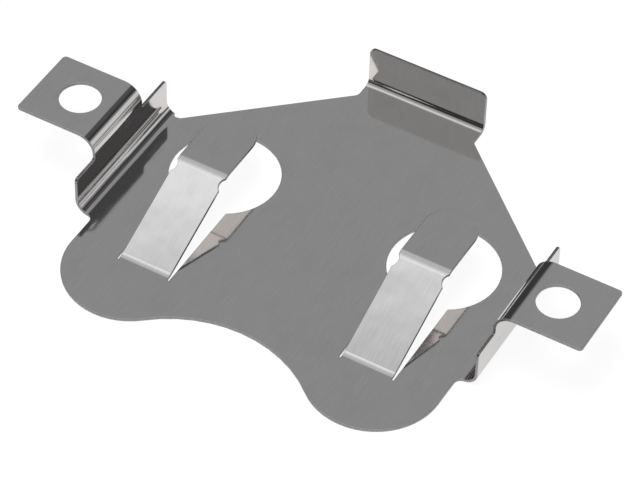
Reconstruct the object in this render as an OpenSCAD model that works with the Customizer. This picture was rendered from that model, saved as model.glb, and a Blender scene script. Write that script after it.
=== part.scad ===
// Coin cell holder: one stamped and folded sheet of spring metal. A flat plate covers the cell,
// two side walls and a rear wall fence it in, two lanced fingers press on it, and two tabs
// with round holes fasten the holder to a board. The cell slides in from the open front.
// The plate lies down and the fingers point up. The origin is on the plate's underside,
// half way between the tab holes; +X runs from tab to tab and +Y towards the rear wall.

/* [Cell] */
// Diameter of the coin cell
cell_d = 20; // [16:0.1:24.5]
// Thickness of the coin cell
cell_h = 3.2; // [2.5:0.1:5]
// Gap from the cell's rim to each side wall
side_gap = 0.4; // [0.1:0.05:0.8]
// Gap from the rim of a centred cell to the rear wall
rear_gap = 0.85; // [0.2:0.05:1.5]

/* [Sheet] */
// Thickness of the sheet
sheet_t = 0.15; // [0.12:0.01:0.2]
// Inside radius of the bend under each side wall
base_bend_r = 0.6; // [0.3:0.05:0.9]
// Inside radius of the bend under the rear wall
rear_bend_r = 0.35; // [0.2:0.05:0.7]
// Inside radius of the bend from each side wall into its tab
tab_bend_r = 0.8; // [0.4:0.05:0.9]

/* [Plate] */
// Reach of the plate in front of the tab holes
front_reach = 8.65; // [7:0.05:11]
// Radius of the two round lobes at the front
lobe_r = 3.25; // [2.6:0.05:3.9]
// Depth of the thumb notch between the lobes
thumb_depth = 2.4; // [1.8:0.05:3]
// Step from the bend line of a side wall in to the side edge of the plate
side_step = 0.2; // [0.1:0.05:0.4]
// Radius of the inner corners where a folded strip leaves the plate
corner_r = 0.35; // [0.2:0.05:0.5]
// Step from the rear end of a side wall forward to the plate's oblique rear edge
edge_step = 0.15; // [0.1:0.05:0.3]
// Radius of the relief nick in that step
nick_r = 0.18; // [0.1:0.01:0.25]

/* [Side walls] */
// Length of a side wall in front of the tab holes
wall_front = 3.6; // [3:0.05:4.4]
// Length of a side wall behind the tab holes
wall_back = 4.2; // [3.4:0.05:5]
// Radius of the upper corners of the side walls
wall_corner_r = 0.2; // [0.1:0.05:0.4]

/* [Tabs] */
// Width of a tab
tab_w = 4.1; // [3.4:0.05:5]
// Straight rise of a tab above the top of its side wall
riser_h = 0.3; // [0.15:0.05:0.6]
// Diameter of a tab hole
hole_d = 2; // [1.6:0.05:2.4]
// Level stretch from a tab's bend to its hole
hole_inset = 0.15; // [0.05:0.05:0.6]
// Level stretch from the hole to the tab's outer end
hole_margin = 1.2; // [0.8:0.05:2]
// Radius of a tab's outer corners
tab_corner_r = 0.2; // [0.2:0.05:0.8]
// Radius of the inner corners between a tab and its side wall
tab_root_r = 0.15; // [0.05:0.05:0.15]

/* [Rear wall] */
// Width of the rear wall
rear_w = 6.3; // [5:0.1:9]
// Height of the rear wall above the plate's underside
rear_h = 2.4; // [1.9:0.05:3]
// Radius of the rear wall's upper corners
rwall_corner_r = 0.35; // [0.15:0.05:0.6]
// Straight run of the rear strip in front of its bend line
rear_run = 0.65; // [0.35:0.05:1]

/* [Fingers] */
// Distance from the middle of the holder to the middle of a finger
finger_x = 5.85; // [5:0.05:7]
// Width of a finger
finger_w = 2.6; // [2:0.05:3.2]
// Clearance of a finger in its slot, on each side
slot_gap = 0.1; // [0.06:0.01:0.2]
// Distance of a finger's root in front of the tab holes
root_reach = 5.25; // [4.2:0.05:6]
// Rise angle of a finger
rise_angle = 23; // [18:1:30]
// Height of a free finger's pad above the plate
pad_rise = 2.15; // [1.6:0.05:2.6]
// Length of the level pad, round end included
pad_len = 3.3; // [2.8:0.05:4.2]
// Inside radius of the bend at a finger's root
root_bend_r = 1; // [0.4:0.05:1.4]
// Inside radius of the bend below the pad
pad_bend_r = 1.4; // [0.6:0.05:1.6]
// Radius of the small side notches below the pad's bend
notch_r = 0.43; // [0.3:0.01:0.6]
// Depth of the side notches
notch_depth = 0.15; // [0.1:0.01:0.25]
// Distance from the side notches to the pad's bend
notch_step = 0.15; // [0:0.05:0.4]

/* [Windows] */
// Radius of the round window round each pad
window_r = 2.65; // [2.2:0.05:3]
// Distance of a window's centre behind the tab holes
window_y = 2; // [1.5:0.05:2.6]

/* [Hidden] */
$fn = 96;
// Inner faces of the side walls and of the rear wall
wall_x = cell_d / 2 + side_gap;
rear_y = cell_d / 2 + rear_gap;
// Bend lines: the plate is flat inside them
side_bend_x = wall_x - base_bend_r;
rear_bend_y = rear_y - rear_bend_r;
// Board face of the tabs, one cell thickness above the plate's upper face
tab_z = sheet_t + cell_h;
// Where a tab's bend starts and ends, and the side wall's top below it
tab_bend_x = wall_x + sheet_t + tab_bend_r;
tab_bend_z = tab_z - sheet_t - tab_bend_r;
wall_h = tab_bend_z - riser_h;
// Centres of the tab holes and outer ends of the tabs
hole_x = tab_bend_x + hole_inset + hole_d / 2;
tab_end_x = hole_x + hole_d / 2 + hole_margin;
// Side edge of the plate, which the lobes touch
plate_x = side_bend_x - side_step;
lobe_x = plate_x - lobe_r;
lobe_y = lobe_r - front_reach;
// Thumb notch: the arc that is tangent to both lobes at the given depth
thumb_r = (lobe_x * lobe_x - 2 * lobe_r * thumb_depth + thumb_depth * thumb_depth) / (2 * thumb_depth);
thumb_y = thumb_depth - front_reach - thumb_r;
// Where a lobe runs over into the notch, as a share of the way between the two centres
touch = lobe_r / (lobe_r + thumb_r);
touch_x = lobe_x * (1 - touch);
touch_y = lobe_y + (thumb_y - lobe_y) * touch;
// Oblique rear edges, from behind a side wall to beside the rear strip
edge_y = wall_back - edge_step;
strip_x = rear_w / 2;
strip_y = rear_bend_y - rear_run;
edge_angle = atan2(edge_y - strip_y, plate_x - strip_x);
// Finger: its two bends turn by the same angle, so the pad is level
bends_r = root_bend_r + sheet_t + pad_bend_r;
arm_len = (pad_rise - bends_r * (1 - cos(rise_angle))) / sin(rise_angle);
arm_end_y = root_bend_r * sin(rise_angle) + arm_len * cos(rise_angle) - root_reach;
pad_y = arm_end_y + (sheet_t + pad_bend_r) * sin(rise_angle);
tip_y = pad_y + pad_len;
notch_y = arm_end_y - notch_step;
notch_x = finger_w / 2 + notch_r - notch_depth;
// How far a cutting shape runs past what it cuts
over = 1;
// How far two pieces of the sheet run into each other where they meet, square and at a slant
lap = 0.3;
slant_lap = 0.01;

// A bend of the sheet about the origin: it starts straight below and turns towards +X
module bend(inner_r, angle = 90) {
    outer_r = inner_r + sheet_t;
    far = 2 * outer_r;
    intersection() {
        difference() {
            circle(outer_r);
            circle(inner_r);
        }
        polygon([
            [0, 0], [0, -far], [far * tan(angle / 2), -far], [far * sin(angle), -far * cos(angle)]
        ]);
    }
}

// A right-angled bend with a short straight piece of the sheet at each end
module fold(inner_r) {
    bend(inner_r);
    translate([-lap, -inner_r - sheet_t]) square([lap, sheet_t]);
    translate([inner_r, 0]) square([sheet_t, lap]);
}

// What rounds an inner corner at the origin, between an edge along +X and one at the angle
module corner_fill(r, angle = 90) {
    reach = r / tan(angle / 2);
    difference() {
        polygon([[0, 0], [reach, 0], [reach, r], [reach * cos(angle), reach * sin(angle)]]);
        translate([reach, r]) circle(r);
    }
}

// A strip along Y whose two corners at the far end are round
module round_end_strip(w, from_y, to_y, r) {
    translate([-w / 2, from_y]) square([w, to_y - from_y - r]);
    translate([r - w / 2, from_y]) square([w - 2 * r, to_y - from_y]);
    for (s = [-1, 1]) translate([s * (w / 2 - r), to_y - r]) circle(r);
}

// Plan of the plate and of its folded strips, before the windows are cut
module plan() {
    difference() {
        union() {
            polygon([
                [-touch_x, touch_y], [touch_x, touch_y], [lobe_x, lobe_y], [plate_x, lobe_y],
                [plate_x, edge_y], [strip_x, strip_y], [-strip_x, strip_y], [-plate_x, edge_y],
                [-plate_x, lobe_y], [-lobe_x, lobe_y]
            ]);
            translate([-strip_x, 0]) square([rear_w, rear_y + sheet_t]);
            translate([-side_bend_x, -wall_front]) square([2 * side_bend_x, wall_front + edge_y]);
            for (s = [0, 1]) mirror([s, 0]) {
                translate([side_bend_x, -wall_front])
                    square([wall_x + sheet_t - side_bend_x, wall_front + wall_back]);
                translate([lobe_x, lobe_y]) circle(lobe_r);
                translate([plate_x, -wall_front]) mirror([0, 1]) corner_fill(corner_r);
                translate([strip_x, strip_y]) rotate(edge_angle)
                    corner_fill(corner_r, 90 - edge_angle);
            }
        }
        translate([0, thumb_y]) circle(thumb_r);
        for (s = [-1, 1]) translate([s * side_bend_x, wall_back]) circle(nick_r);
    }
}

// Slot and round window that free one finger
module finger_cut() {
    translate([0, window_y]) circle(window_r);
    translate([-finger_w / 2 - slot_gap, -root_reach])
        square([finger_w + 2 * slot_gap, root_reach + window_y]);
}

// The flat plate, up to its three bend lines
module plate() {
    linear_extrude(sheet_t) difference() {
        intersection() {
            plan();
            translate([-side_bend_x, -front_reach - over])
                square([2 * side_bend_x, front_reach + over + rear_bend_y]);
        }
        for (s = [-1, 1]) translate([s * finger_x, 0]) finger_cut();
    }
}

// Bend and side wall on the +X side
module side_wall() {
    // The bend keeps the plan's rounded corner and its nick
    intersection() {
        translate([side_bend_x, wall_back + over, sheet_t + base_bend_r]) rotate([90, 0, 0])
            linear_extrude(wall_front + wall_back + corner_r + 2 * over) fold(base_bend_r);
        linear_extrude(sheet_t + base_bend_r + lap) plan();
    }
    translate([wall_x, (wall_back - wall_front) / 2, 0]) rotate([90, 0, 90])
        linear_extrude(sheet_t)
        round_end_strip(wall_front + wall_back, sheet_t + base_bend_r, wall_h, wall_corner_r);
}

// Tab on the +X side: it rises out of the side wall, bends and ends level, with its hole
module tab() {
    translate([wall_x, 0, 0]) rotate([90, 0, 90]) linear_extrude(sheet_t) {
        translate([-tab_w / 2, wall_h - lap]) square([tab_w, lap + riser_h]);
        for (s = [0, 1]) mirror([s, 0]) translate([tab_w / 2, wall_h]) corner_fill(tab_root_r);
    }
    translate([tab_bend_x, tab_w / 2, tab_bend_z]) rotate([90, 0, 0])
        linear_extrude(tab_w) rotate(180) fold(tab_bend_r);
    translate([0, 0, tab_z - sheet_t]) linear_extrude(sheet_t) difference() {
        rotate(-90) round_end_strip(tab_w, tab_bend_x, tab_end_x, tab_corner_r);
        translate([hole_x, 0]) circle(d = hole_d);
    }
}

// Bend and rear wall
module rear_wall() {
    translate([-rear_w / 2, rear_bend_y, sheet_t + rear_bend_r]) rotate([90, 0, 90])
        linear_extrude(rear_w) fold(rear_bend_r);
    translate([0, rear_y + sheet_t, 0]) rotate([90, 0, 0]) linear_extrude(sheet_t)
        round_end_strip(rear_w, sheet_t + rear_bend_r, rear_h, rwall_corner_r);
}

// Side view of a finger, drawn in Y and Z
module finger_profile() {
    // A short piece that lies in the plate, in front of the root
    translate([-root_reach - lap, 0]) square([lap, sheet_t]);
    translate([-root_reach, sheet_t + root_bend_r]) {
        bend(root_bend_r, rise_angle);
        rotate(rise_angle) translate([-slant_lap, -root_bend_r - sheet_t])
            square([arm_len + 2 * slant_lap, sheet_t]);
    }
    translate([pad_y, pad_rise - pad_bend_r])
        rotate(180) bend(pad_bend_r, rise_angle);
    translate([pad_y, pad_rise]) square([pad_len, sheet_t]);
}

// Plan of a finger, with its round end and its two side notches
module finger_plan() {
    difference() {
        union() {
            translate([-finger_w / 2, -root_reach - over])
                square([finger_w, root_reach + over + tip_y - finger_w / 2]);
            translate([0, tip_y - finger_w / 2]) circle(d = finger_w);
        }
        for (s = [-1, 1]) translate([s * notch_x, notch_y]) circle(notch_r);
    }
}

// Finger about its own middle line
module finger() {
    intersection() {
        translate([-finger_w / 2 - over, 0, 0]) rotate([90, 0, 90])
            linear_extrude(finger_w + 2 * over) finger_profile();
        linear_extrude(2 * sheet_t + pad_rise) finger_plan();
    }
}

module holder() {
    color("silver") {
        plate();
        rear_wall();
        for (s = [0, 1]) mirror([s, 0, 0]) {
            side_wall();
            tab();
            translate([finger_x, 0, 0]) finger();
        }
    }
}

holder();
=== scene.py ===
"""Coin cell holder: a blank of sheet steel is cut, folded and plated, and stands on a studio floor.

The blank is drawn flat in millimetres, as its stamping die would cut it, and a Geometry Nodes tree
folds it about its bend lines. Every mesh is in metres.
"""

import math

import bpy
from bpy.props import FloatProperty, FloatVectorProperty, IntProperty, PointerProperty
from mathutils import Euler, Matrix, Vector
from mathutils.geometry import delaunay_2d_cdt


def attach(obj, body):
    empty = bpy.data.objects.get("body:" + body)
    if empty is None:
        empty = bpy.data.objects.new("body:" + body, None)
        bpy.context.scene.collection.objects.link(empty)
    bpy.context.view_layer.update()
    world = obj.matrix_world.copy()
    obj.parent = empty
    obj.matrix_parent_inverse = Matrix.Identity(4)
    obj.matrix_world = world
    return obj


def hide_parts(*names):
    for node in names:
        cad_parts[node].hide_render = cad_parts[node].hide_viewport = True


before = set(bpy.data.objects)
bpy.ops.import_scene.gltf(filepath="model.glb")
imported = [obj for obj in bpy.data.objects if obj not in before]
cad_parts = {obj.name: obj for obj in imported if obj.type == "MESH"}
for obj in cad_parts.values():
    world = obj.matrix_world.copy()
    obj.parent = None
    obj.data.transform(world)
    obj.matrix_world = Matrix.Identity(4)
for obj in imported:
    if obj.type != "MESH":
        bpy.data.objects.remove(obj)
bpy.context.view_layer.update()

bl_info = {
    "name": "Coin cell holder",
    "version": (1, 0, 0),
    "blender": (4, 5, 0),
    "location": "View3D > Sidebar > Coin cell holder",
    "description": "Cuts, folds and plates a sheet-metal coin cell holder and sets its stage",
    "category": "Object",
}

MM = 0.001


def length(name, description, millimetres):
    """A size that a user would change, kept in metres."""
    return FloatProperty(
        name=name, description=description, default=millimetres * MM, min=0, precision=5,
        unit="LENGTH", subtype="DISTANCE",
    )


def colour(name, description, value):
    return FloatVectorProperty(
        name=name, description=description, default=value, size=3, min=0, max=1, subtype="COLOR"
    )


class CellHolderSheet(bpy.types.PropertyGroup):
    """Sizes of the sheet: its blank and its bends"""

    thickness: length("Thickness", "Thickness of the sheet", 0.15)
    edge_round: length("Edge round", "How far the stamped edges are rounded over", 0.03)
    wall_gap: length("Wall gap", "Distance between the inner faces of the side walls", 20.8)
    rear_face: length("Rear face", "Distance of the rear wall's inner face behind the tab holes", 10.85)
    base_bend: length("Base bend", "Inside radius of the bend under each side wall", 0.6)
    rear_bend: length("Rear bend", "Inside radius of the bend under the rear wall", 0.35)
    tab_bend: length("Tab bend", "Inside radius of the bend into each tab", 0.8)
    front_reach: length("Front reach", "Reach of the plate in front of the tab holes", 8.65)
    lobe_radius: length("Lobe radius", "Radius of the two round lobes at the front", 3.25)
    thumb_depth: length("Thumb notch", "Depth of the notch between the lobes", 2.4)
    side_step: length("Side step", "Step from a side wall's bend line in to the plate's edge", 0.2)
    edge_step: length("Edge step", "Step from a side wall's end to the oblique rear edge", 0.15)
    corner_radius: length("Corner radius", "Radius of the plate's inner corners", 0.35)
    nick_radius: length("Nick radius", "Radius of the relief nick behind each side wall", 0.18)
    wall_front: length("Wall front", "Length of a side wall in front of the tab holes", 3.6)
    wall_back: length("Wall back", "Length of a side wall behind the tab holes", 4.2)
    wall_corner: length("Wall corner", "Radius of the side walls' upper corners", 0.2)
    tab_height: length("Tab height", "Height of the tabs' board face", 3.35)
    tab_width: length("Tab width", "Width of a tab", 4.1)
    riser: length("Riser", "Straight rise of a tab above its side wall", 0.3)
    hole_pitch: length("Hole pitch", "Distance between the tab holes", 25)
    hole_size: length("Hole diameter", "Diameter of a tab hole", 2)
    hole_margin: length("Hole margin", "Stretch from a hole to its tab's outer end", 1.2)
    tab_corner: length("Tab corner", "Radius of a tab's outer corners", 0.2)
    tab_root: length("Tab root", "Radius of the inner corners under a tab", 0.15)
    rear_width: length("Rear width", "Width of the rear wall", 6.3)
    rear_height: length("Rear height", "Height of the rear wall", 2.4)
    rear_corner: length("Rear corner", "Radius of the rear wall's upper corners", 0.35)
    rear_run: length("Rear run", "Straight run of the rear strip before its bend line", 0.65)


class CellHolderFingers(bpy.types.PropertyGroup):
    """Sizes of the spring fingers and of the windows that free them"""

    offset: length("Offset", "Distance of a finger from the middle of the holder", 5.85)
    width: length("Width", "Width of a finger", 2.6)
    slot: length("Slot", "Clearance on each side of a finger", 0.1)
    root_reach: length("Root reach", "Distance of the root in front of the tab holes", 5.25)
    rise: FloatProperty(
        name="Rise", description="Angle at which a finger rises out of the plate",
        default=math.radians(23), unit="ROTATION", subtype="ANGLE",
    )
    pad_rise: length("Pad rise", "Height of a free finger's pad above the plate's underside", 2.15)
    pad_length: length("Pad length", "Length of the level pad, round end included", 3.3)
    root_bend: length("Root bend", "Inside radius of the bend at the root", 1)
    pad_bend: length("Pad bend", "Inside radius of the bend below the pad", 1.4)
    notch_radius: length("Notch radius", "Radius of the small side notches", 0.43)
    notch_depth: length("Notch depth", "Depth of the side notches", 0.15)
    notch_step: length("Notch step", "Distance from the side notches to the pad's bend", 0.15)
    window_radius: length("Window radius", "Radius of the round window round each pad", 2.65)
    window_back: length("Window place", "Distance of a window's centre behind the tab holes", 2)
    rulings: IntProperty(
        name="Steps in a bend", description="Facets across a right-angled bend", default=16, min=4
    )


class CellHolderFinish(bpy.types.PropertyGroup):
    """Colours of the plated sheet and level of the studio"""

    plating: colour("Plating", "Colour of the bright plating", (0.73, 0.70, 0.683))
    smudge: colour("Smudge", "Colour where the plating is dulled", (0.635, 0.61, 0.60))
    cut_edge: colour("Cut edge", "Colour of the stamped edges", (0.26, 0.25, 0.25))
    floor: colour("Floor", "Colour of the studio floor", (0.86, 0.86, 0.86))


# ---------------------------------------------------------------------------------------------
# The blank, drawn flat in millimetres
# ---------------------------------------------------------------------------------------------


class Outline:
    """A closed line in the plane of the sheet, with the sheet on its left, made of lines and arcs."""

    ARC_STEP = math.radians(7)

    def __init__(self, start=None):
        self.points = [start] if start else []

    def line(self, x, y):
        self.points.append((x, y))
        return self

    def arc(self, centre, radius, start, end):
        """An arc between two angles in radians; it turns clockwise if end is below start."""
        steps = max(3, math.ceil(abs(end - start) / self.ARC_STEP))
        for i in range(steps + 1):
            angle = start + (end - start) * i / steps
            self.points.append(
                (centre[0] + radius * math.cos(angle), centre[1] + radius * math.sin(angle))
            )
        return self

    def mirrored(self):
        """The same line on the other side of the middle plane."""
        other = Outline()
        other.points = [(-x, y) for x, y in reversed(self.points)]
        return other

    def closed(self, longest):
        """The points without doubles, with long lines divided."""
        points = []
        for point in self.points:
            if not points or math.dist(point, points[-1]) > 1e-5:
                points.append(point)
        if math.dist(points[0], points[-1]) < 1e-5:
            points.pop()
        fine = []
        for a, b in zip(points, points[1:] + points[:1]):
            steps = max(1, math.ceil(math.dist(a, b) / longest))
            fine += [(a[0] + (b[0] - a[0]) * i / steps, a[1] + (b[1] - a[1]) * i / steps)
                     for i in range(steps)]
        return fine


class Blank:
    """The flat pattern: its outlines and where it bends, worked out from the folded sizes."""

    def __init__(self, sheet, fingers):
        size = {name: getattr(sheet, name) / MM for name in sheet.__annotations__}
        size.update({"finger_" + name: getattr(fingers, name) / MM
                     for name in fingers.__annotations__ if name not in ("rise", "rulings")})
        for name, value in size.items():
            setattr(self, name, value)
        self.rise = fingers.rise
        self.rulings = fingers.rulings
        half = self.thickness / 2
        quarter = math.pi / 2
        # Side walls and tabs: distances from the middle plane, along the flat sheet
        self.wall_radius = self.base_bend + half
        self.tab_radius = self.tab_bend + half
        self.wall_line = self.wall_gap / 2 - self.base_bend
        wall_start = self.wall_line + self.wall_radius * quarter
        tab_foot = self.tab_height - self.thickness - self.tab_bend
        self.tab_line = wall_start + tab_foot - self.thickness - self.base_bend
        self.wall_top = self.tab_line - self.riser
        level = self.hole_pitch / 2 - self.wall_gap / 2 - self.thickness - self.tab_bend
        self.hole_place = self.tab_line + self.tab_radius * quarter + level
        self.tab_end = self.hole_place + self.hole_size / 2 + self.hole_margin
        # Rear wall
        self.rear_radius = self.rear_bend + half
        self.rear_line = self.rear_face - self.rear_bend
        rear_foot = self.thickness + self.rear_bend
        self.rear_top = self.rear_line + self.rear_radius * quarter + self.rear_height - rear_foot
        # Fingers: distances along the flat sheet
        self.root_radius = self.finger_root_bend + half
        self.pad_radius = self.finger_pad_bend + half
        bends = (self.root_radius + self.pad_radius) * (1 - math.cos(self.rise))
        arm = (self.finger_pad_rise - bends) / math.sin(self.rise)
        self.root_line = -self.finger_root_reach
        self.pad_line = self.root_line + self.root_radius * self.rise + arm
        self.finger_end = self.pad_line + self.pad_radius * self.rise + self.finger_pad_length

    def outer(self):
        """The outer edge, from the thumb notch round the right half and back."""
        right = math.pi / 2
        side = self.wall_line - self.side_step
        lobe = (side - self.lobe_radius, self.lobe_radius - self.front_reach)
        depth = self.thumb_depth
        thumb_radius = (lobe[0] ** 2 - 2 * self.lobe_radius * depth + depth ** 2) / (2 * depth)
        thumb = (0, depth - self.front_reach - thumb_radius)
        touch = math.atan2(lobe[1] - thumb[1], lobe[0])
        corner, end, root = self.wall_corner, self.tab_corner, self.tab_root
        front, back, width = -self.wall_front, self.wall_back, self.tab_width / 2
        half = Outline()
        half.arc(thumb, thumb_radius, right, touch)
        half.arc(lobe, self.lobe_radius, touch - math.pi, 0)
        half.arc((side + self.corner_radius, front - self.corner_radius), self.corner_radius,
                 math.pi, right)
        half.arc((self.wall_top - corner, front + corner), corner, -right, 0)
        half.arc((self.wall_top + root, -width - root), root, math.pi, right)
        half.arc((self.tab_end - end, end - width), end, -right, 0)
        half.arc((self.tab_end - end, width - end), end, 0, right)
        half.arc((self.wall_top + root, width + root), root, -right, -math.pi)
        half.arc((self.wall_top - corner, back - corner), corner, 0, right)
        # The relief nick runs out on the oblique rear edge
        half.arc((self.wall_line, back), self.nick_radius, 0,
                 math.asin(self.edge_step / self.nick_radius) - math.pi)
        strip = (self.rear_width / 2, self.rear_line - self.rear_run)
        half.line(side, back - self.edge_step)
        slope = math.atan2(back - self.edge_step - strip[1], side - strip[0])
        reach = self.corner_radius / math.tan((right - slope) / 2)
        half.arc((strip[0] + self.corner_radius, strip[1] + reach), self.corner_radius,
                 slope + 3 * right, math.pi)
        corner = self.rear_corner
        half.arc((strip[0] - corner, self.rear_top - corner), corner, 0, right)
        whole = Outline()
        whole.points = half.points + half.mirrored().points
        return whole

    def finger_cut(self):
        """The slot and window that free the right finger, with the finger's own edge inside."""
        right = math.pi / 2
        x, w = self.finger_offset, self.finger_width / 2
        wide = w + self.finger_slot
        window = (x, self.finger_window_back)
        lean = math.asin(wide / self.finger_window_radius)
        notch_y = self.pad_line - self.finger_notch_step / math.cos(self.rise)
        notch_x = w + self.finger_notch_radius - self.finger_notch_depth
        open_angle = math.acos((notch_x - w) / self.finger_notch_radius)
        cut = Outline((x - wide, self.root_line))
        cut.arc(window, self.finger_window_radius, lean - right - 2 * lean + 2 * math.pi,
                lean - right)
        cut.line(x + wide, self.root_line).line(x + w, self.root_line)
        cut.arc((x + notch_x, notch_y), self.finger_notch_radius,
                math.pi + open_angle, math.pi - open_angle)
        cut.arc((x, self.finger_end - w), w, 0, math.pi)
        cut.arc((x - notch_x, notch_y), self.finger_notch_radius, open_angle, -open_angle)
        cut.line(x - w, self.root_line)
        return cut

    def tab_hole(self):
        hole = Outline()
        return hole.arc((self.hole_place, 0), self.hole_size / 2, 0, -2 * math.pi)

    def on_finger(self, x, y):
        """Whether a point of the blank belongs to a finger."""
        beside = abs(abs(x) - self.finger_offset) < self.finger_width / 2 + self.finger_slot / 2
        past = (self.finger_end + self.finger_window_back + self.finger_window_radius) / 2
        return beside and self.root_line < y < past

    def bends(self):
        """Each bend as (bend line, arc length, lowest and highest place along it, fold, side)."""
        quarter, x = math.pi / 2, self.finger_offset
        width = self.tab_width / 2
        finger = self.finger_width / 2
        found = []
        for side in (-1, 1):
            found += [
                ("X", side, self.wall_line, self.wall_radius * quarter,
                 -self.wall_front - self.corner_radius, self.wall_back, quarter),
                ("X", side, self.tab_line, self.tab_radius * quarter, -width, width, quarter),
                ("Y", 1, self.root_line, self.root_radius * self.rise,
                 side * x - finger, side * x + finger, self.rise),
                ("Y", 1, self.pad_line, self.pad_radius * self.rise,
                 side * x - finger, side * x + finger, self.rise),
            ]
        found.append(("Y", 1, self.rear_line, self.rear_radius * quarter,
                      -self.rear_width / 2, self.rear_width / 2, quarter))
        return found

    def ruling_lines(self):
        """The straight lines along which the facets of the bends meet."""
        for axis, side, line, arc, low, high, angle in self.bends():
            steps = max(6, round(self.rulings * angle / (math.pi / 2)))
            for i in range(steps + 1):
                yield axis, side * (line + arc * i / steps), low, high


def crossed(points, rulings, clear):
    """The outline with a point wherever a ruling crosses it, clear of the points it has."""
    fine = []
    for a, b in zip(points, points[1:] + points[:1]):
        shares = {0.0}
        for axis, place, low, high in rulings:
            k = 0 if axis == "X" else 1
            run = b[k] - a[k]
            if abs(run) < 1e-7:
                continue
            share = (place - a[k]) / run
            other = a[1 - k] + (b[1 - k] - a[1 - k]) * share
            room = min(share, 1 - share) * math.dist(a, b)
            if room > clear and low - 0.01 < other < high + 0.01:
                shares.add(share)
        fine += [(a[0] + (b[0] - a[0]) * s, a[1] + (b[1] - a[1]) * s) for s in sorted(shares)]
    return fine


def outward(points):
    """For each point of an outline, the step that moves it out of the sheet by one unit."""
    steps = []
    count = len(points)
    for i in range(count):
        a, b, c = points[i - 1], points[i], points[(i + 1) % count]
        before = Vector((b[1] - a[1], a[0] - b[0])).normalized()
        after = Vector((c[1] - b[1], b[0] - c[0])).normalized()
        middle = (before + after).normalized()
        steps.append(middle / max(0.4, middle.dot(before)))
    return steps


def inside(x, y, loops):
    """Whether a point lies on the sheet, by counting the outlines' crossings."""
    hit = False
    for loop in loops:
        for (ax, ay), (bx, by) in zip(loop, loop[1:] + loop[:1]):
            if (ay > y) != (by > y) and x < ax + (bx - ax) * (y - ay) / (by - ay):
                hit = not hit
    return hit


def blank_mesh(blank):
    """The flat blank as a closed mesh with rounded edges, ready to be folded."""
    rulings = list(blank.ruling_lines())
    cut, hole = blank.finger_cut(), blank.tab_hole()
    outlines = [blank.outer(), cut, cut.mirrored(), hole, hole.mirrored()]
    half, edge = blank.thickness / 2, blank.edge_round
    loops = [crossed(outline.closed(0.45), rulings, 1.2 * edge) for outline in outlines]

    # Faces: one triangulation of the sheet, inside the rounded edge, serves both sides
    flat, rims, constraints = [], [], []
    for loop in loops:
        first = len(flat)
        steps = outward(loop)
        flat += [(x - edge * s.x, y - edge * s.y) for (x, y), s in zip(loop, steps)]
        rims.append((range(first, len(flat)), loop, steps))
        constraints += [(first + i, first + (i + 1) % len(loop)) for i in range(len(loop))]
    rim_count = len(flat)
    inner = [flat[r[0].start:r[0].stop] for r in rims]
    clear = 2.2 * edge
    for axis, place, low, high in rulings:
        # A ruling is laid in short pieces, so that it stops where the sheet does
        steps = max(2, math.ceil((high - low) / 0.4))
        marks = [low + clear + (high - low - 2 * clear) * i / steps for i in range(steps + 1)]
        ends = [(place, m) if axis == "X" else (m, place) for m in marks]
        kept = [inside(x, y, inner) and min(math.dist((x, y), p) for p in flat[:rim_count]) > edge
                for x, y in ends]
        for i, end in enumerate(ends):
            if kept[i]:
                flat.append(end)
                if i and kept[i - 1]:
                    constraints.append((len(flat) - 2, len(flat) - 1))
    points, _, triangles, origins, _, _ = delaunay_2d_cdt(
        [Vector(p) for p in flat], constraints, [], 0, 1e-6
    )
    if len(points) != len(flat):
        raise RuntimeError("the blank's outlines cross")
    place_of = [o[0] for o in origins]
    triangles = [
        [place_of[v] for v in triangle] for triangle in triangles
        if inside(sum(points[v].x for v in triangle) / 3, sum(points[v].y for v in triangle) / 3, inner)
    ]

    # Vertices as (x, y, height), with the way the surface faces and how far it is cut edge
    vertices, facing, cut_share = [], [], []
    for height, up in ((half, 1), (-half, -1)):
        for x, y in flat:
            vertices.append((x, y, height))
            facing.append((0, 0, up))
            cut_share.append(0)
    count = len(flat)
    faces = [tuple(t) for t in triangles] + [tuple(v + count for v in reversed(t)) for t in triangles]
    turns = [math.radians(a) for a in (30, 60, 90)]
    rows = [(edge * (1 - math.sin(a)), half - edge * (1 - math.cos(a)), a) for a in turns]
    rows += [(inset, -height, math.pi - a) for inset, height, a in reversed(rows)]
    for ids, loop, steps in rims:
        ring = list(ids)
        for inset, height, angle in rows:
            start = len(vertices)
            for (x, y), s in zip(loop, steps):
                way = s.normalized()
                vertices.append((x - inset * s.x, y - inset * s.y, height))
                facing.append((way.x * math.sin(angle), way.y * math.sin(angle), math.cos(angle)))
                cut_share.append(math.sin(angle))
            below = list(range(start, len(vertices)))
            faces += quads(ring, below)
            ring = below
        faces += quads(ring, [i + count for i in ids])

    mesh = bpy.data.meshes.new("holder_sheet")
    mesh.from_pydata([tuple(c * MM for c in v) for v in vertices], [], faces)
    on_finger = [1.0 if blank.on_finger(x, y) else 0.0 for x, y, _ in vertices]
    put(mesh, "facing", "FLOAT_VECTOR", "vector", [c for n in facing for c in n])
    put(mesh, "blank", "FLOAT_VECTOR", "vector", [c for v in vertices for c in v])
    put(mesh, "cut_edge", "FLOAT", "value", cut_share)
    put(mesh, "finger", "FLOAT", "value", on_finger)
    return mesh


def quads(upper, lower):
    """Faces between two rings of an edge; the upper ring is nearer the top of the sheet."""
    count = len(upper)
    return [(upper[i], lower[i], lower[(i + 1) % count], upper[(i + 1) % count])
            for i in range(count)]


def put(mesh, name, kind, field, values):
    mesh.attributes.new(name, kind, "POINT").data.foreach_set(field, values)


# ---------------------------------------------------------------------------------------------
# Folding, in Geometry Nodes
# ---------------------------------------------------------------------------------------------


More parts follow.
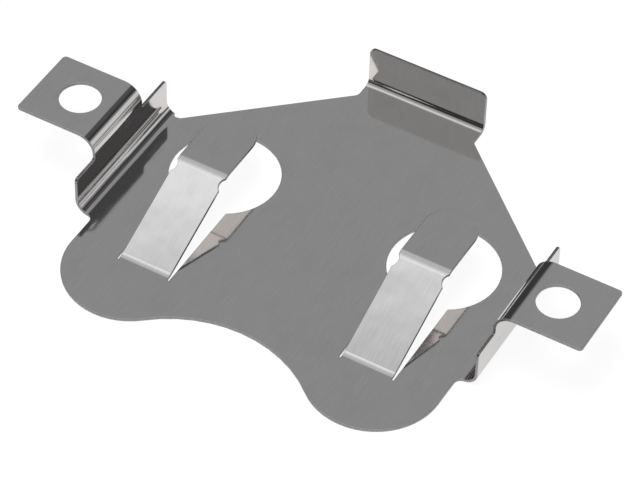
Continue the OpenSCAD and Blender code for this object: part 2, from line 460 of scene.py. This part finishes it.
class Tree:
    """Short names for adding nodes to a tree."""

    def __init__(self, tree):
        self.tree = tree

    def node(self, kind, *inputs, **settings):
        """A node with its settings, and with values or links on its inputs, in their order."""
        node = self.tree.nodes.new(kind)
        for name, value in settings.items():
            setattr(node, name, value)
        for socket, value in zip(node.inputs, inputs):
            self.give(socket, value)
        return node

    def give(self, socket, value):
        if value is None:
            return
        if isinstance(value, bpy.types.NodeSocket):
            self.tree.links.new(value, socket)
        else:
            socket.default_value = value

    def math(self, operation, *inputs):
        return self.node("ShaderNodeMath", *inputs, operation=operation).outputs[0]

    def ramp(self, value, start, end, low, high, kind="LINEAR"):
        """A value taken from one range to another and held at both ends."""
        made = self.node("ShaderNodeMapRange", value, interpolation_type=kind)
        for name, number in zip(("From Min", "From Max", "To Min", "To Max"),
                                (start, end, low, high)):
            made.inputs[name].default_value = number
        return made.outputs[0]

    def group(self, group_tree, **inputs):
        node = self.node("GeometryNodeGroup", node_tree=group_tree)
        for name, value in inputs.items():
            self.give(node.inputs[name.replace("_", " ")], value)
        return node.outputs


def socket(tree, name, kind, way="INPUT", default=None):
    made = tree.interface.new_socket(name, in_out=way, socket_type="NodeSocket" + kind)
    if default is not None:
        made.default_value = default
    return made


def fold_group():
    """One fold: what lies past the bend line is rolled up by the angle, and the rest turns with it.

    Along and Up place a point across the bend and out of the sheet's middle, and the two Facing
    values say which way its surface looks. A negative Way folds downwards.
    """
    tree = bpy.data.node_groups.new("Fold", "GeometryNodeTree")
    for name in ("Along", "Up", "Facing along", "Facing up", "Line", "Radius", "Angle", "Way"):
        socket(tree, name, "Float")
    for name in ("Along", "Up", "Facing along", "Facing up"):
        socket(tree, name, "Float", "OUTPUT")
    t = Tree(tree)
    given = tree.nodes.new("NodeGroupInput").outputs
    past = t.math("SUBTRACT", given["Along"], given["Line"])
    turned = t.math("MINIMUM", t.math("MAXIMUM", t.math("DIVIDE", past, given["Radius"]), 0.0),
                    given["Angle"])
    straight = t.math("SUBTRACT", past, t.math("MULTIPLY", turned, given["Radius"]))
    sine, cosine = t.math("SINE", turned), t.math("COSINE", turned)
    side_sine = t.math("MULTIPLY", sine, given["Way"])
    # The middle of the sheet rolls over the radius and goes on straight
    run = t.math("ADD", t.math("MULTIPLY", given["Radius"], sine),
                 t.math("MULTIPLY", straight, cosine))
    lift = t.math("ADD", t.math("MULTIPLY", given["Radius"], t.math("SUBTRACT", 1.0, cosine)),
                  t.math("MULTIPLY", straight, sine))
    along = t.math("SUBTRACT", t.math("ADD", given["Line"], run),
                   t.math("MULTIPLY", given["Up"], side_sine))
    up = t.math("ADD", t.math("MULTIPLY", lift, given["Way"]),
                t.math("MULTIPLY", given["Up"], cosine))
    facing_along = t.math("SUBTRACT", t.math("MULTIPLY", given["Facing along"], cosine),
                          t.math("MULTIPLY", given["Facing up"], side_sine))
    facing_up = t.math("ADD", t.math("MULTIPLY", given["Facing along"], side_sine),
                       t.math("MULTIPLY", given["Facing up"], cosine))
    t.node("NodeGroupOutput", along, up, facing_along, facing_up)
    return tree


def folding_tree():
    """The whole holder: tabs, side walls, rear wall and fingers, each folded from the outside in."""
    tree = bpy.data.node_groups.new("Fold the holder", "GeometryNodeTree")
    socket(tree, "Geometry", "Geometry")
    socket(tree, "Finish", "Material")
    for name in ("Sheet thickness", "Wall line", "Wall radius", "Tab line", "Tab radius",
                 "Rear line", "Rear radius", "Root line", "Root radius", "Pad line", "Pad radius",
                 "Finger rise"):
        socket(tree, name, "Float")
    socket(tree, "Geometry", "Geometry", "OUTPUT")
    t = Tree(tree)
    fold = fold_group()
    given = tree.nodes.new("NodeGroupInput").outputs
    quarter = math.pi / 2

    place = t.node("ShaderNodeSeparateXYZ", t.node("GeometryNodeInputPosition").outputs[0]).outputs
    facing = t.node("GeometryNodeInputNamedAttribute", "facing", data_type="FLOAT_VECTOR")
    looks = t.node("ShaderNodeSeparateXYZ", facing.outputs[0]).outputs
    finger = t.node("GeometryNodeInputNamedAttribute", "finger", data_type="FLOAT").outputs[0]

    # Side walls and tabs, on both sides at once
    side = t.math("SIGN", place["X"])
    tab = t.group(fold, Along=t.math("ABSOLUTE", place["X"]), Up=place["Z"],
                  Facing_along=t.math("MULTIPLY", looks["X"], side), Facing_up=looks["Z"],
                  Line=given["Tab line"], Radius=given["Tab radius"], Angle=quarter, Way=-1.0)
    wall = t.group(fold, Along=tab["Along"], Up=tab["Up"], Facing_along=tab["Facing along"],
                   Facing_up=tab["Facing up"], Line=given["Wall line"],
                   Radius=given["Wall radius"], Angle=quarter, Way=1.0)
    # Rear wall
    rear = t.group(fold, Along=place["Y"], Up=wall["Up"], Facing_along=looks["Y"],
                   Facing_up=wall["Facing up"], Line=given["Rear line"],
                   Radius=given["Rear radius"], Angle=quarter, Way=1.0)
    # Fingers: the bend below the pad, then the one at the root
    pad = t.group(fold, Along=rear["Along"], Up=rear["Up"], Facing_along=rear["Facing along"],
                  Facing_up=rear["Facing up"], Line=given["Pad line"],
                  Radius=given["Pad radius"], Angle=t.math("MULTIPLY", given["Finger rise"], finger),
                  Way=-1.0)
    root = t.group(fold, Along=pad["Along"], Up=pad["Up"], Facing_along=pad["Facing along"],
                   Facing_up=pad["Facing up"], Line=given["Root line"],
                   Radius=given["Root radius"],
                   Angle=t.math("MULTIPLY", given["Finger rise"], finger), Way=1.0)

    lifted = t.math("ADD", root["Up"], t.math("MULTIPLY", given["Sheet thickness"], 0.5))
    folded = t.node("ShaderNodeCombineXYZ", t.math("MULTIPLY", wall["Along"], side),
                    root["Along"], lifted).outputs[0]
    faces = t.node("ShaderNodeCombineXYZ", t.math("MULTIPLY", wall["Facing along"], side),
                   root["Facing along"], root["Facing up"]).outputs[0]
    # Both are worked out on the flat blank before it moves
    held = t.node("GeometryNodeCaptureAttribute", given["Geometry"])
    held.capture_items.new("VECTOR", "Folded")
    held.capture_items.new("VECTOR", "Faces")
    t.give(held.inputs["Folded"], folded)
    t.give(held.inputs["Faces"], faces)
    moved = t.node("GeometryNodeSetPosition", held.outputs["Geometry"])
    t.give(moved.inputs["Position"], held.outputs["Folded"])
    stored = t.node("GeometryNodeStoreNamedAttribute", moved.outputs[0],
                    data_type="FLOAT_VECTOR", domain="POINT")
    t.give(stored.inputs["Name"], "facing")
    t.give(stored.inputs["Value"], held.outputs["Faces"])
    real = t.node("GeometryNodeRealizeInstances", stored.outputs[0])
    plated = t.node("GeometryNodeSetMaterial", real.outputs[0])
    t.give(plated.inputs["Material"], given["Finish"])
    t.node("NodeGroupOutput", plated.outputs[0])
    return tree


def folded_mesh(flat, blank, finish):
    """The blank after the tree has folded it, as a plain mesh with its exact normals."""
    ob = bpy.data.objects.new("holder_blank", flat)
    bpy.context.scene.collection.objects.link(ob)
    modifier = ob.modifiers.new("Fold", "NODES")
    tree = modifier.node_group = folding_tree()
    values = {
        "Finish": finish,
        "Sheet thickness": blank.thickness * MM,
        "Wall line": blank.wall_line * MM, "Wall radius": blank.wall_radius * MM,
        "Tab line": blank.tab_line * MM, "Tab radius": blank.tab_radius * MM,
        "Rear line": blank.rear_line * MM, "Rear radius": blank.rear_radius * MM,
        "Root line": blank.root_line * MM, "Root radius": blank.root_radius * MM,
        "Pad line": blank.pad_line * MM, "Pad radius": blank.pad_radius * MM,
        "Finger rise": blank.rise,
    }
    for item in tree.interface.items_tree:
        if item.in_out == "INPUT" and item.name in values:
            modifier[item.identifier] = values[item.name]
    bpy.context.view_layer.update()
    evaluated = ob.evaluated_get(bpy.context.evaluated_depsgraph_get())
    mesh = bpy.data.meshes.new_from_object(evaluated)
    mesh.name = "holder_sheet"
    bpy.data.objects.remove(ob)
    mesh.shade_smooth()
    facing = [0.0] * (3 * len(mesh.vertices))
    mesh.attributes["facing"].data.foreach_get("vector", facing)
    mesh.normals_split_custom_set_from_vertices(
        [Vector(facing[i:i + 3]).normalized() for i in range(0, len(facing), 3)]
    )
    mesh.attributes.remove(mesh.attributes["facing"])
    mesh.attributes.remove(mesh.attributes["finger"])
    return mesh


# ---------------------------------------------------------------------------------------------
# Finishes
# ---------------------------------------------------------------------------------------------


def new_material(name):
    material = bpy.data.materials.new(name)
    material.use_nodes = True
    material.node_tree.nodes.clear()
    return material, Tree(material.node_tree)


def plated_steel(finish):
    """Bright plated sheet: fine rolling grain, dull smudges, hairline scratches, sheared edges."""
    material, t = new_material("plated_steel")
    blank = t.node("ShaderNodeAttribute", attribute_name="blank").outputs["Vector"]
    cut = t.node("ShaderNodeAttribute", attribute_name="cut_edge").outputs["Fac"]

    def noise(stretch, scale, detail, rough=0.5):
        lie = t.node("ShaderNodeMapping", blank)
        lie.inputs["Scale"].default_value = stretch
        made = t.node("ShaderNodeTexNoise", lie.outputs[0])
        made.inputs["Scale"].default_value = scale
        made.inputs["Detail"].default_value = detail
        made.inputs["Roughness"].default_value = rough
        return made.outputs["Fac"]

    def mixed(share, first, second):
        made = t.node("ShaderNodeMix", data_type="RGBA")
        t.give(made.inputs["Factor"], share)
        t.give(made.inputs["A"], (*first, 1) if isinstance(first, tuple) else first)
        t.give(made.inputs["B"], (*second, 1) if isinstance(second, tuple) else second)
        return made.outputs["Result"]

    grain = noise((14, 0.45, 1), 1.6, 5, 0.6)
    clouds = noise((1, 1, 1), 0.22, 3)
    smudges = t.ramp(noise((1, 0.8, 1), 0.6, 4, 0.62), 0.48, 0.74, 0, 1)
    # Hairline scratches: two sets of thin bright lines at a slight angle to the grain
    scratches = None
    for turn, scale in ((0.35, 0.9), (-0.9, 0.7)):
        lie = t.node("ShaderNodeMapping", blank)
        lie.inputs["Rotation"].default_value = (0, 0, turn)
        lie.inputs["Scale"].default_value = (5, 0.16, 1)
        cells = t.node("ShaderNodeTexVoronoi", lie.outputs[0], feature="DISTANCE_TO_EDGE")
        cells.inputs["Scale"].default_value = scale
        line = t.ramp(cells.outputs["Distance"], 0.0, 0.012, 1, 0)
        scratches = line if scratches is None else t.math("MAXIMUM", scratches, line)
    scratches = t.math("MULTIPLY", scratches, t.ramp(clouds, 0.5, 0.62, 0, 1))

    base = mixed(t.math("MULTIPLY", smudges, 0.35), tuple(finish.plating), tuple(finish.smudge))
    fine = t.ramp(grain, 0.3, 0.7, 0.95, 1.05)
    tinted = t.node("ShaderNodeMix", data_type="RGBA", blend_type="MULTIPLY")
    tinted.inputs["Factor"].default_value = 1
    t.give(tinted.inputs["A"], base)
    t.give(tinted.inputs["B"], fine)
    striation = noise((9, 9, 0.5), 2.2, 3)
    sheared = mixed(t.ramp(striation, 0.35, 0.65, 0, 0.35), tuple(finish.cut_edge),
                    tuple(finish.smudge))
    colour_out = mixed(t.ramp(cut, 0.35, 1.0, 0, 1), tinted.outputs["Result"], sheared)

    rough = t.math("ADD", t.ramp(grain, 0.3, 0.7, 0.06, 0.10),
                   t.math("MULTIPLY", smudges, 0.06))
    rough = t.math("ADD", rough, t.math("MULTIPLY", scratches, 0.12))
    rough = t.math("ADD", rough, t.ramp(cut, 0.35, 1.0, 0.0, 0.16))

    waves = noise((1, 1, 1), 0.35, 2)
    bump = t.node("ShaderNodeBump")
    bump.inputs["Strength"].default_value = 0.6
    bump.inputs["Distance"].default_value = 0.02 * MM
    height = t.math("ADD", t.math("MULTIPLY", waves, 0.8), t.math("MULTIPLY", grain, 0.01))
    height = t.math("SUBTRACT", height, t.math("MULTIPLY", scratches, 0.02))
    t.give(bump.inputs["Height"], height)

    shader = t.node("ShaderNodeBsdfPrincipled")
    shader.inputs["Metallic"].default_value = 1
    shader.inputs["Specular Tint"].default_value = (0.95, 0.95, 0.97, 1)
    t.give(shader.inputs["Base Color"], colour_out)
    t.give(shader.inputs["Roughness"], rough)
    t.give(shader.inputs["Normal"], bump.outputs[0])
    t.node("ShaderNodeOutputMaterial", shader.outputs[0])
    return material


def studio_floor(finish):
    """White floor: it takes the shadow, and shows as white to the camera and in reflections."""
    material, t = new_material("studio_floor")
    place = t.node("ShaderNodeTexCoord").outputs["Object"]
    mottle = t.node("ShaderNodeTexNoise", place)
    mottle.inputs["Scale"].default_value = 3
    tone = t.ramp(mottle.outputs["Fac"], 0, 1, finish.floor[0] * 0.99, finish.floor[0])
    paper = t.node("ShaderNodeBsdfDiffuse", tone).outputs[0]
    white = t.node("ShaderNodeEmission", (1, 1, 1, 1), 1.0).outputs[0]
    rays = t.node("ShaderNodeLightPath").outputs
    seen = t.math("MAXIMUM", rays["Is Camera Ray"],
                  t.math("MAXIMUM", rays["Is Glossy Ray"], rays["Is Transmission Ray"]))
    # Painted shade: in reflections the floor glows white round the holder and is painted darker further
    # off
    reach = t.node("ShaderNodeVectorMath", place, operation="LENGTH").outputs["Value"]
    shade = t.ramp(reach, 20 * MM, 120 * MM, 0.85, 0.12, "SMOOTHSTEP")
    lit = t.math("MAXIMUM", rays["Is Camera Ray"], shade)
    t.give(white.node.inputs["Strength"], lit)
    both = t.node("ShaderNodeMixShader", t.math("MULTIPLY", seen, 0.93), paper, white)
    t.node("ShaderNodeOutputMaterial", both.outputs[0])
    return material


# ---------------------------------------------------------------------------------------------
# Operators
# ---------------------------------------------------------------------------------------------


class CELLHOLDER_OT_sheet(bpy.types.Operator):
    """Cut the blank, fold it and plate it"""

    bl_idname = "cellholder.sheet"
    bl_label = "Sheet with walls, tabs and fingers"

    def execute(self, context):
        scene = context.scene
        blank = Blank(scene.cell_holder_sheet, scene.cell_holder_fingers)
        finish = plated_steel(scene.cell_holder_finish)
        mesh = folded_mesh(blank_mesh(blank), blank, finish)
        piece = bpy.data.objects.new("holder_sheet", mesh)
        scene.collection.objects.link(piece)
        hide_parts("holder")
        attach(piece, "root")
        return {"FINISHED"}


class CELLHOLDER_OT_stage(bpy.types.Operator):
    """Lay the floor, set the studio's lights and place the camera"""

    bl_idname = "cellholder.stage"
    bl_label = "Stage"

    def execute(self, context):
        scene = context.scene
        scene.view_settings.view_transform = "Standard"
        self.floor(scene)
        self.world(scene)
        self.lamp(scene, "top_light", (-0.05, -0.06, 0.42), (0, 0, 0), 0.30, 2.6)
        self.camera(scene)
        return {"FINISHED"}

    @staticmethod
    def floor(scene):
        reach = 4.0
        mesh = bpy.data.meshes.new("floor")
        ring = [(reach * math.cos(a), reach * math.sin(a), -0.00001)
                for a in (2 * math.pi * i / 64 for i in range(64))]
        mesh.from_pydata(ring, [], [tuple(range(64))])
        mesh.materials.append(studio_floor(scene.cell_holder_finish))
        ob = bpy.data.objects.new("floor", mesh)
        scene.collection.objects.link(ob)

    @staticmethod
    def world(scene):
        """A room that is dark low down and grey higher up, with a wide soft light overhead."""
        world = scene.world = bpy.data.worlds.new("studio")
        world.use_nodes = True
        world.node_tree.nodes.clear()
        t = Tree(world.node_tree)
        way = t.node("ShaderNodeTexCoord").outputs["Generated"]

        def along(direction):
            return t.node("ShaderNodeVectorMath", way, Vector(direction),
                          operation="DOT_PRODUCT").outputs["Value"]

        def ramp(value, start, end, low, high, kind="SMOOTHSTEP"):
            return t.ramp(value, start, end, low, high, kind)

        height, right, back = (along(axis) for axis in ((0, 0, 1), (1, 0, 0), (0, 1, 0)))
        # Low down, the room is grey with two dark corners on the left and one pale panel

        def spot(towards, start, end, level):
            return ramp(along(Vector(towards).normalized()), start, end, 0, level)

        low = ramp(right, -0.1, 0.35, 0.22, 0.25)
        low = t.math("ADD", low, spot((0.76, 0.61, 0.22), 0.98, 0.993, 0.5))
        low = t.math("SUBTRACT", low, spot((-0.70, 0.61, 0.37), 0.90, 0.96, 0.17))
        low = t.math("SUBTRACT", low, spot((-0.336, -0.94, 0.10), 0.80, 0.92, 0.19))
        upper = ramp(height, 0.50, 0.68, 0, 1)
        high = ramp(back, -0.65, 0.0, 0.40, 0.343)
        room = t.math("ADD", low, t.math("MULTIPLY", upper, t.math("SUBTRACT", high, low)))
        room = t.math("SUBTRACT", room, spot((0.45, 0.60, 0.66), 0.955, 0.978, 0.25))
        room = t.math("MAXIMUM", room, 0.04)
        # The overhead light is brightest a little to the rear left and fades on both sides
        fade = ramp(along((-2.7, 12.4, 0)), -0.60, -0.13, 0.64, 1.12, "LINEAR")
        fade = t.math("SUBTRACT", fade, ramp(back, -0.08, 0.24, 0, 0.48))
        share = ramp(along(Vector((-0.15, 0, 1)).normalized()), 0.862, 0.915, 0, 1)
        level = t.math("ADD", room, t.math("MULTIPLY", share, t.math("SUBTRACT", fade, room)))
        tint = t.node("ShaderNodeVectorMath", Vector((0.958, 1.0, 1.027)), operation="SCALE")
        t.give(tint.inputs["Scale"], level)
        background = t.node("ShaderNodeBackground", tint.outputs[0], 1.0)
        t.node("ShaderNodeOutputWorld", background.outputs[0])

    @staticmethod
    def lamp(scene, name, place, target, size, watts):
        data = bpy.data.lights.new(name, "AREA")
        data.shape = "DISK"
        data.size = size
        data.energy = watts
        ob = bpy.data.objects.new(name, data)
        ob.location = place
        ob.rotation_euler = (Vector(target) - Vector(place)).to_track_quat("-Z", "Y").to_euler()
        ob.visible_camera = False
        ob.visible_glossy = False
        scene.collection.objects.link(ob)

    @staticmethod
    def camera(scene):
        """A long lens, high in front and to the right."""
        data = bpy.data.cameras.new("camera")
        data.lens = 195.12
        data.sensor_width = 36
        data.clip_start = 0.01
        data.clip_end = 20
        ob = bpy.data.objects.new("camera", data)
        target = Vector((0.0686, 0.6540, 0)) * MM
        azimuth, elevation, roll = (math.radians(a) for a in (28.952, 46.007, 1.612))
        ob.rotation_euler = (
            Euler((math.pi / 2 - elevation, 0, azimuth)).to_matrix() @ Euler((0, 0, roll)).to_matrix()
        ).to_euler()
        back = Vector((math.sin(azimuth) * math.cos(elevation),
                       -math.cos(azimuth) * math.cos(elevation), math.sin(elevation)))
        ob.location = target + back * 159.67 * MM
        scene.collection.objects.link(ob)
        scene.camera = ob


class CELLHOLDER_PT_panel(bpy.types.Panel):
    """Sizes, finish and pieces of the coin cell holder"""

    bl_idname = "CELLHOLDER_PT_panel"
    bl_label = "Coin cell holder"
    bl_space_type = "VIEW_3D"
    bl_region_type = "UI"
    bl_category = "Coin cell holder"

    def draw(self, context):
        for group in GROUPS:
            box = self.layout.box()
            box.label(text=group.__doc__)
            settings = getattr(context.scene, GROUPS[group])
            for name in group.__annotations__:
                box.prop(settings, name)
        for operator in OPERATORS:
            self.layout.operator(operator.bl_idname)


GROUPS = {
    CellHolderSheet: "cell_holder_sheet",
    CellHolderFingers: "cell_holder_fingers",
    CellHolderFinish: "cell_holder_finish",
}
OPERATORS = (CELLHOLDER_OT_sheet, CELLHOLDER_OT_stage)


def register():
    for cls in (*GROUPS, *OPERATORS, CELLHOLDER_PT_panel):
        bpy.utils.register_class(cls)
    for group, name in GROUPS.items():
        setattr(bpy.types.Scene, name, PointerProperty(type=group))


def unregister():
    for name in GROUPS.values():
        delattr(bpy.types.Scene, name)
    for cls in (CELLHOLDER_PT_panel, *OPERATORS, *GROUPS):
        bpy.utils.unregister_class(cls)


def main():
    register()
    bpy.ops.cellholder.sheet()
    bpy.ops.cellholder.stage()


if __name__ == "__main__":
    main()
